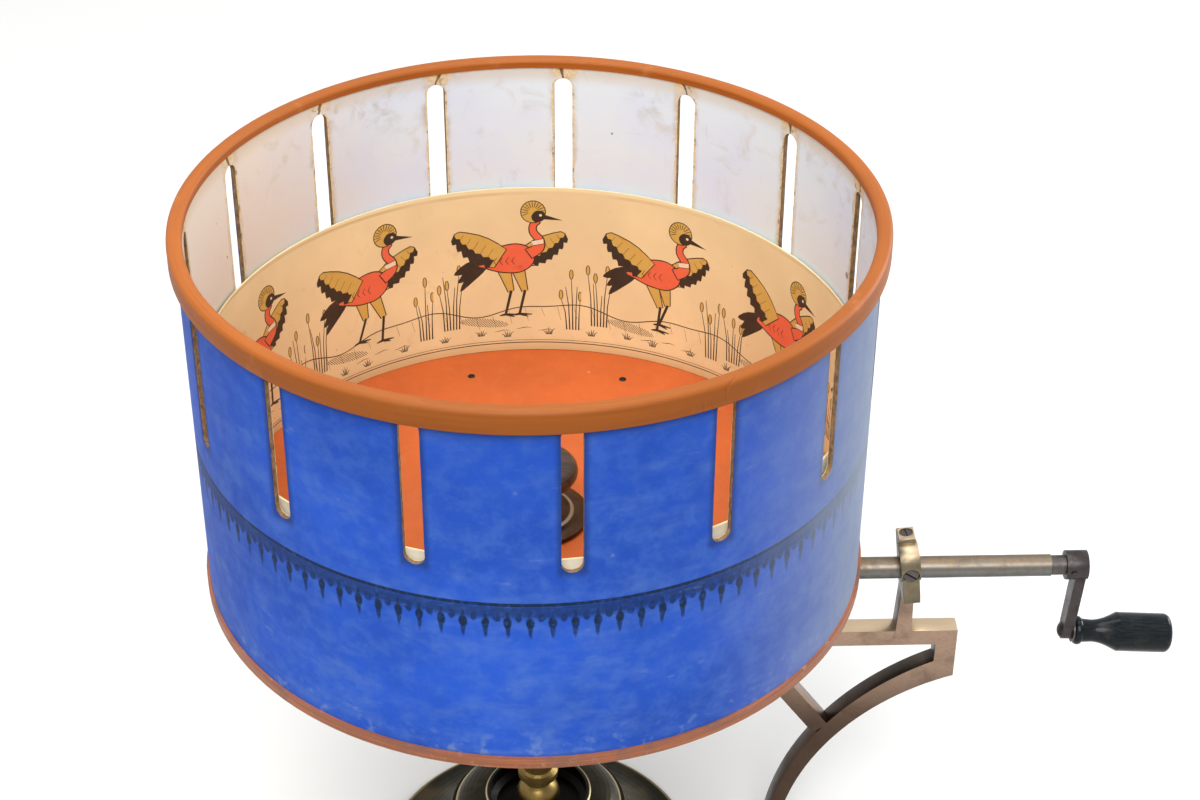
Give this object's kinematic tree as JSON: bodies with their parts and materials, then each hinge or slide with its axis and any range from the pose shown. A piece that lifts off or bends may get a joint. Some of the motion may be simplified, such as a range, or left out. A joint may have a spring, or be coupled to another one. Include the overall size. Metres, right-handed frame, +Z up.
{
  "type": "zoetrope",
  "caption": "Hand-cranked zoetrope: an open slotted drum holding a loose picture strip turns on a pillar, driven by a crown wheel and pinion from a side crank on a bracket.",
  "frame": {"origin": "on the drum's axis at the underside of the base pad, where the foot stands on the table", "axes": "+Z up along the drum's axis, +X towards the crank along its shaft, +Y away from the usual viewer; row units are metres"},
  "size_m": [0.4501, 0.3, 0.372],
  "materials": {
    "blue_paper": "matt printed paper, scuffed",
    "lining_paper": "aged pale paper",
    "wall_card": "raw cut edge",
    "hoop_wood": "worn varnish",
    "lower_hoop": "worn red-brown paint",
    "board_wood": "bare",
    "floor_paper": "matt",
    "nail_iron": "dark",
    "strip_card": "aged printed card",
    "hub_wood": "dark polish",
    "disc_bronze": "dark bronze",
    "brass": "aged",
    "gear_brass": "oiled",
    "patina": "green-brown patina",
    "iron_weight": "rough",
    "felt": "felt",
    "steel": "worn",
    "bracket_steel": "satin polished",
    "dark_steel": "dark oxide",
    "ebony": "ebonised and polished"
  },
  "bodies": {
    "stand": {"base_foot": "patina", "brass_cup": "brass", "base_weight": "iron_weight", "base_pad": "felt", "pillar": "brass", "pillar_nut": "dark_steel", "spindle": "steel", "thrust_washer": "brass", "bracket": "bracket_steel", "bracket_screw": "dark_steel", "outer_post": "bracket_steel", "clamp_strap": "bracket_steel", "strap_screws": "dark_steel", "inner_post": "bracket_steel", "inner_post_screw": "dark_steel", "bearing_tube": "steel"},
    "drum": {"drum_wall": "wall_card", "outer_paper": "blue_paper", "inner_lining": "lining_paper", "rim_hoop": "hoop_wood", "base_hoop": "lower_hoop", "floor_board": "board_wood", "floor_paper": "floor_paper", "floor_nails": "nail_iron", "hub_disc": "disc_bronze", "drum_knob": "hub_wood", "hub_sleeve": "brass", "sleeve_screws": "dark_steel", "crown_wheel": "gear_brass", "wheel_rivets": "brass"},
    "strip": {"picture_strip": "strip_card"},
    "crank": {"crank_shaft": "steel", "pinion": "gear_brass", "pinion_pin": "dark_steel", "shaft_collar": "dark_steel", "crank_arm": "dark_steel", "crank_pin": "dark_steel", "handle_pin": "dark_steel", "handle_washer": "steel", "handle_end_washer": "steel"},
    "handle": {"crank_handle": "ebony"}
  },
  "joints": [
    {"name": "drum_spin", "type": "hinge", "parent": "stand", "child": "drum", "pos_m": [0, 0, 0.2], "axis": [0, 0, 1], "continuous": true},
    {"name": "strip_lift", "type": "slide", "parent": "drum", "child": "strip", "axis": [0, 0, 1], "range_m": [0, 0.17]},
    {"name": "crank_spin", "type": "hinge", "parent": "stand", "child": "crank", "pos_m": [0.2, 0, 0.181], "axis": [1, 0, 0], "continuous": true},
    {"name": "handle_spin", "type": "hinge", "parent": "crank", "child": "handle", "pos_m": [0.25037, 0, 0.14207], "axis": [0.9981, 0, -0.061], "continuous": true}
  ],
  "couplings": [
    {"joint": "crank_spin", "follows": "drum_spin", "ratio": -2}
  ]
}
